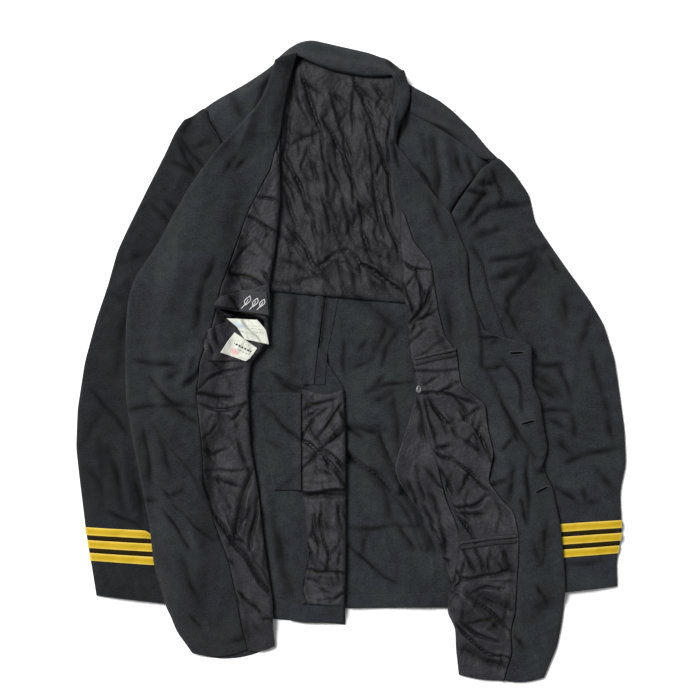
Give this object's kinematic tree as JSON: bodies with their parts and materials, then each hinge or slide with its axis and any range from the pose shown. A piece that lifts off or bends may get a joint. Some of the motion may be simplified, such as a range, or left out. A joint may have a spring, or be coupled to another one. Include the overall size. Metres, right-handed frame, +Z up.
{
  "type": "pilot uniform jacket",
  "caption": "Double-breasted dark wool uniform jacket with gold cuff braid, half lined in satin, laid flat on its back with both fronts folded open.",
  "frame": {"origin": "on the surface that the jacket lies on, below the middle of its box", "axes": "+X to the wearer's left (the right side seen from above), +Y from the hem to the collar, +Z up from the surface"},
  "size_m": [0.758, 0.8852, 0.034],
  "materials": {
    "wool": "charcoal wool twill with a short nap and almost no sheen",
    "satin": "dark viscose satin lining, soft sheen, small dark pin dots",
    "braid": "flat gold lace braid, ribbed along its length",
    "name_tag": "black woven tag with a plain pale motif",
    "label": "pale printed cloth label, creased",
    "button": "dark grey moulded button, softly polished"
  },
  "bodies": {
    "root": {"back_left": "wool", "back_right": "wool", "back_hem_left": "wool", "back_hem_right": "wool", "centre_seam_left": "wool", "centre_seam_right": "wool", "back_tuck_left": "wool", "back_shoulder_right": "wool", "front_body_left": "wool", "front_body_right": "wool", "front_turned_left": "wool", "front_turned_right": "wool", "facing_left": "wool", "facing_right": "wool", "lapel_left": "wool", "lapel_right": "wool", "sleeve_top_left": "wool", "sleeve_top_right": "wool", "sleeve_under_left": "wool", "sleeve_under_right": "wool", "collar_stand": "wool", "collar_leaf": "wool", "yoke_lining": "satin", "vent_facing": "satin", "side_lining_right": "satin", "lining_left": "satin", "lining_right": "satin", "pocket_bag_left": "satin", "pocket_band_left": "satin", "welt_upper_1": "satin", "welt_upper_2": "satin", "welt_lower_1": "satin", "welt_lower_2": "satin", "braid_top_left_1": "braid", "braid_top_left_2": "braid", "braid_top_left_3": "braid", "braid_top_right_1": "braid", "braid_top_right_2": "braid", "braid_top_right_3": "braid", "braid_under_left_1": "braid", "braid_under_left_2": "braid", "braid_under_left_3": "braid", "braid_under_right_1": "braid", "braid_under_right_2": "braid", "braid_under_right_3": "braid", "name_tag": "name_tag", "label_upper": "label", "label_lower": "label", "button_upper": "button", "button_middle": "button", "button_lower": "button", "button_inner": "button"}
  },
  "joints": []
}
